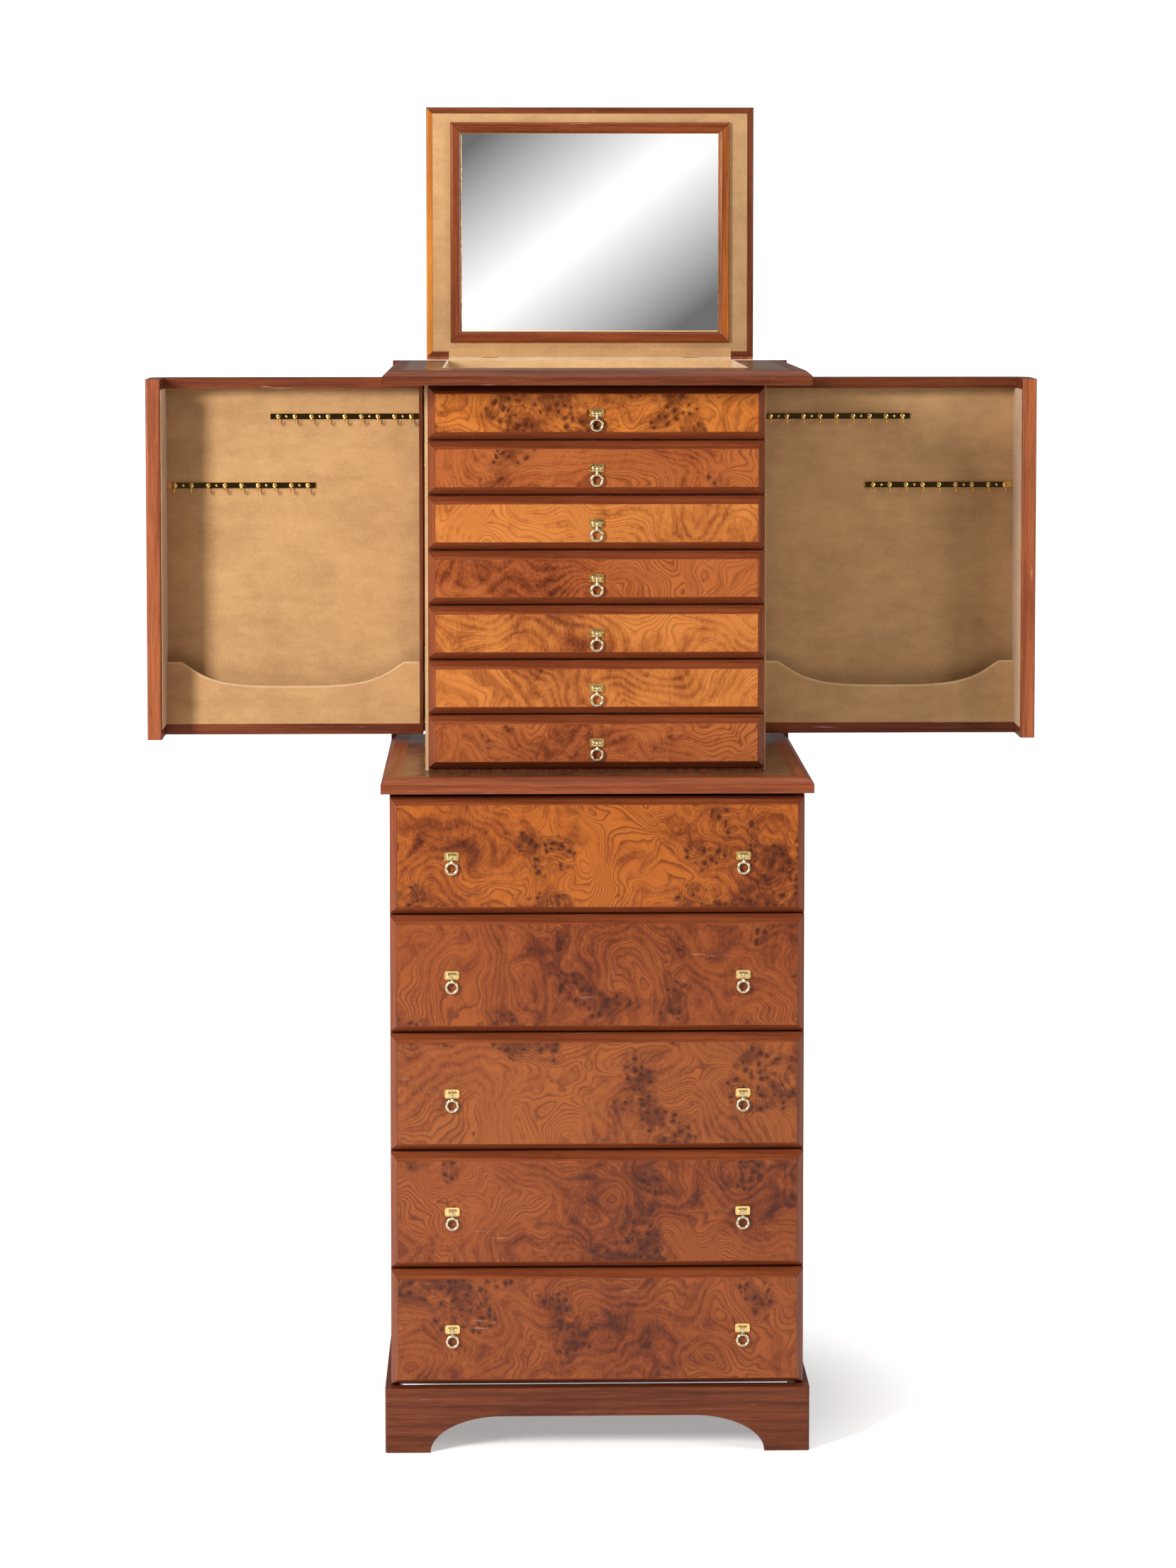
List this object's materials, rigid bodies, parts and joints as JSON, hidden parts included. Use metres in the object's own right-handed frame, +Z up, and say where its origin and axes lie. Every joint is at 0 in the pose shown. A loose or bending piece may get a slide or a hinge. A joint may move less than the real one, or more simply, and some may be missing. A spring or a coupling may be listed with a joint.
{
  "type": "jewelry armoire",
  "caption": "Plinth chest of wide drawers under a narrow column of shallow drawers, with two hinged necklace-tray doors and a mirrored lid over a lined well.",
  "frame": {"origin": "centre of the base of the whole object's box, on the floor", "axes": "+X to the right seen from the front, +Y to the back, +Z up"},
  "size_m": [0.996, 0.3922, 1.4384],
  "materials": {
    "mahogany": "satin lacquered mahogany",
    "burl_veneer": "lacquered burl elm veneer with mahogany edges",
    "drawer_wood": "plain sanded pale wood",
    "suede": "beige flocked suede cloth",
    "brass": "polished brass",
    "mirror": "silvered mirror glass"
  },
  "bodies": {
    "cabinet": {"plinth": "mahogany", "lower_case": "burl_veneer", "lower_top": "mahogany", "upper_case": "burl_veneer", "upper_top": "mahogany", "well_lining": "suede", "back_panels": "drawer_wood", "fixed_hinge_leaves": "brass"},
    "lid": {"lid_panel": "burl_veneer", "lid_lining": "suede", "mirror_frame": "mahogany", "mirror_glass": "mirror", "lid_hinge_leaves": "brass"},
    "left_door": {"left_door": "mahogany", "left_door_lining": "suede", "left_door_hardware": "brass"},
    "right_door": {"right_door": "mahogany", "right_door_lining": "suede", "right_door_hardware": "brass"},
    "upper_drawer_1": {"upper_drawer_1_box": "drawer_wood", "upper_drawer_1_front": "burl_veneer"},
    "upper_drawer_2": {"upper_drawer_2_box": "drawer_wood", "upper_drawer_2_front": "burl_veneer"},
    "upper_drawer_3": {"upper_drawer_3_box": "drawer_wood", "upper_drawer_3_front": "burl_veneer"},
    "upper_drawer_4": {"upper_drawer_4_box": "drawer_wood", "upper_drawer_4_front": "burl_veneer"},
    "upper_drawer_5": {"upper_drawer_5_box": "drawer_wood", "upper_drawer_5_front": "burl_veneer"},
    "upper_drawer_6": {"upper_drawer_6_box": "drawer_wood", "upper_drawer_6_front": "burl_veneer"},
    "upper_drawer_7": {"upper_drawer_7_box": "drawer_wood", "upper_drawer_7_front": "burl_veneer"},
    "lower_drawer_1": {"lower_drawer_1_box": "drawer_wood", "lower_drawer_1_front": "burl_veneer"},
    "lower_drawer_2": {"lower_drawer_2_box": "drawer_wood", "lower_drawer_2_front": "burl_veneer"},
    "lower_drawer_3": {"lower_drawer_3_box": "drawer_wood", "lower_drawer_3_front": "burl_veneer"},
    "lower_drawer_4": {"lower_drawer_4_box": "drawer_wood", "lower_drawer_4_front": "burl_veneer"},
    "lower_drawer_5": {"lower_drawer_5_box": "drawer_wood", "lower_drawer_5_front": "burl_veneer"},
    "upper_ring_1": {"upper_ring_1": "brass"},
    "upper_ring_2": {"upper_ring_2": "brass"},
    "upper_ring_3": {"upper_ring_3": "brass"},
    "upper_ring_4": {"upper_ring_4": "brass"},
    "upper_ring_5": {"upper_ring_5": "brass"},
    "upper_ring_6": {"upper_ring_6": "brass"},
    "upper_ring_7": {"upper_ring_7": "brass"},
    "lower_ring_1_left": {"lower_ring_1_left": "brass"},
    "lower_ring_1_right": {"lower_ring_1_right": "brass"},
    "lower_ring_2_left": {"lower_ring_2_left": "brass"},
    "lower_ring_2_right": {"lower_ring_2_right": "brass"},
    "lower_ring_3_left": {"lower_ring_3_left": "brass"},
    "lower_ring_3_right": {"lower_ring_3_right": "brass"},
    "lower_ring_4_left": {"lower_ring_4_left": "brass"},
    "lower_ring_4_right": {"lower_ring_4_right": "brass"},
    "lower_ring_5_left": {"lower_ring_5_left": "brass"},
    "lower_ring_5_right": {"lower_ring_5_right": "brass"}
  },
  "joints": [
    {"name": "upper_drawer_1_slide", "type": "slide", "parent": "cabinet", "child": "upper_drawer_1", "axis": [0, -1, 0], "range_m": [0, 0.23]},
    {"name": "upper_drawer_2_slide", "type": "slide", "parent": "cabinet", "child": "upper_drawer_2", "axis": [0, -1, 0], "range_m": [0, 0.23]},
    {"name": "upper_drawer_3_slide", "type": "slide", "parent": "cabinet", "child": "upper_drawer_3", "axis": [0, -1, 0], "range_m": [0, 0.23]},
    {"name": "upper_drawer_4_slide", "type": "slide", "parent": "cabinet", "child": "upper_drawer_4", "axis": [0, -1, 0], "range_m": [0, 0.23]},
    {"name": "upper_drawer_5_slide", "type": "slide", "parent": "cabinet", "child": "upper_drawer_5", "axis": [0, -1, 0], "range_m": [0, 0.23]},
    {"name": "upper_drawer_6_slide", "type": "slide", "parent": "cabinet", "child": "upper_drawer_6", "axis": [0, -1, 0], "range_m": [0, 0.23]},
    {"name": "upper_drawer_7_slide", "type": "slide", "parent": "cabinet", "child": "upper_drawer_7", "axis": [0, -1, 0], "range_m": [0, 0.23]},
    {"name": "lower_drawer_1_slide", "type": "slide", "parent": "cabinet", "child": "lower_drawer_1", "axis": [0, -1, 0], "range_m": [0, 0.26]},
    {"name": "lower_drawer_2_slide", "type": "slide", "parent": "cabinet", "child": "lower_drawer_2", "axis": [0, -1, 0], "range_m": [0, 0.26]},
    {"name": "lower_drawer_3_slide", "type": "slide", "parent": "cabinet", "child": "lower_drawer_3", "axis": [0, -1, 0], "range_m": [0, 0.26]},
    {"name": "lower_drawer_4_slide", "type": "slide", "parent": "cabinet", "child": "lower_drawer_4", "axis": [0, -1, 0], "range_m": [0, 0.26]},
    {"name": "lower_drawer_5_slide", "type": "slide", "parent": "cabinet", "child": "lower_drawer_5", "axis": [0, -1, 0], "range_m": [0, 0.26]},
    {"name": "left_door_hinge", "type": "hinge", "parent": "cabinet", "child": "left_door", "pos_m": [-0.1867, 0.1195, 0.728], "axis": [0, 0, -1], "range_deg": [-90, 12]},
    {"name": "right_door_hinge", "type": "hinge", "parent": "cabinet", "child": "right_door", "pos_m": [0.1867, 0.1195, 0.728], "axis": [0, 0, 1], "range_deg": [-90, 12]},
    {"name": "lid_hinge", "type": "hinge", "parent": "cabinet", "child": "lid", "pos_m": [0, 0.1821, 1.1502], "axis": [-1, 0, 0], "range_deg": [-90, 0]},
    {"name": "upper_ring_1_pivot", "type": "hinge", "parent": "upper_drawer_1", "child": "upper_ring_1", "pos_m": [0, -0.1595, 1.104], "axis": [-1, 0, 0], "range_deg": [0, 95]},
    {"name": "upper_ring_2_pivot", "type": "hinge", "parent": "upper_drawer_2", "child": "upper_ring_2", "pos_m": [0, -0.1595, 1.0456], "axis": [-1, 0, 0], "range_deg": [0, 95]},
    {"name": "upper_ring_3_pivot", "type": "hinge", "parent": "upper_drawer_3", "child": "upper_ring_3", "pos_m": [0, -0.1595, 0.9872], "axis": [-1, 0, 0], "range_deg": [0, 95]},
    {"name": "upper_ring_4_pivot", "type": "hinge", "parent": "upper_drawer_4", "child": "upper_ring_4", "pos_m": [0, -0.1595, 0.9288], "axis": [-1, 0, 0], "range_deg": [0, 95]},
    {"name": "upper_ring_5_pivot", "type": "hinge", "parent": "upper_drawer_5", "child": "upper_ring_5", "pos_m": [0, -0.1595, 0.8704], "axis": [-1, 0, 0], "range_deg": [0, 95]},
    {"name": "upper_ring_6_pivot", "type": "hinge", "parent": "upper_drawer_6", "child": "upper_ring_6", "pos_m": [0, -0.1595, 0.812], "axis": [-1, 0, 0], "range_deg": [0, 95]},
    {"name": "upper_ring_7_pivot", "type": "hinge", "parent": "upper_drawer_7", "child": "upper_ring_7", "pos_m": [0, -0.1595, 0.7536], "axis": [-1, 0, 0], "range_deg": [0, 95]},
    {"name": "lower_ring_1_left_pivot", "type": "hinge", "parent": "lower_drawer_1", "child": "lower_ring_1_left", "pos_m": [-0.154, -0.1945, 0.63807], "axis": [-1, 0, 0], "range_deg": [0, 95]},
    {"name": "lower_ring_1_right_pivot", "type": "hinge", "parent": "lower_drawer_1", "child": "lower_ring_1_right", "pos_m": [0.154, -0.1945, 0.63807], "axis": [-1, 0, 0], "range_deg": [0, 95]},
    {"name": "lower_ring_2_left_pivot", "type": "hinge", "parent": "lower_drawer_2", "child": "lower_ring_2_left", "pos_m": [-0.154, -0.1945, 0.51161], "axis": [-1, 0, 0], "range_deg": [0, 95]},
    {"name": "lower_ring_2_right_pivot", "type": "hinge", "parent": "lower_drawer_2", "child": "lower_ring_2_right", "pos_m": [0.154, -0.1945, 0.51161], "axis": [-1, 0, 0], "range_deg": [0, 95]},
    {"name": "lower_ring_3_left_pivot", "type": "hinge", "parent": "lower_drawer_3", "child": "lower_ring_3_left", "pos_m": [-0.154, -0.1945, 0.38515], "axis": [-1, 0, 0], "range_deg": [0, 95]},
    {"name": "lower_ring_3_right_pivot", "type": "hinge", "parent": "lower_drawer_3", "child": "lower_ring_3_right", "pos_m": [0.154, -0.1945, 0.38515], "axis": [-1, 0, 0], "range_deg": [0, 95]},
    {"name": "lower_ring_4_left_pivot", "type": "hinge", "parent": "lower_drawer_4", "child": "lower_ring_4_left", "pos_m": [-0.154, -0.1945, 0.25869], "axis": [-1, 0, 0], "range_deg": [0, 95]},
    {"name": "lower_ring_4_right_pivot", "type": "hinge", "parent": "lower_drawer_4", "child": "lower_ring_4_right", "pos_m": [0.154, -0.1945, 0.25869], "axis": [-1, 0, 0], "range_deg": [0, 95]},
    {"name": "lower_ring_5_left_pivot", "type": "hinge", "parent": "lower_drawer_5", "child": "lower_ring_5_left", "pos_m": [-0.154, -0.1945, 0.13223], "axis": [-1, 0, 0], "range_deg": [0, 95]},
    {"name": "lower_ring_5_right_pivot", "type": "hinge", "parent": "lower_drawer_5", "child": "lower_ring_5_right", "pos_m": [0.154, -0.1945, 0.13223], "axis": [-1, 0, 0], "range_deg": [0, 95]}
  ]
}
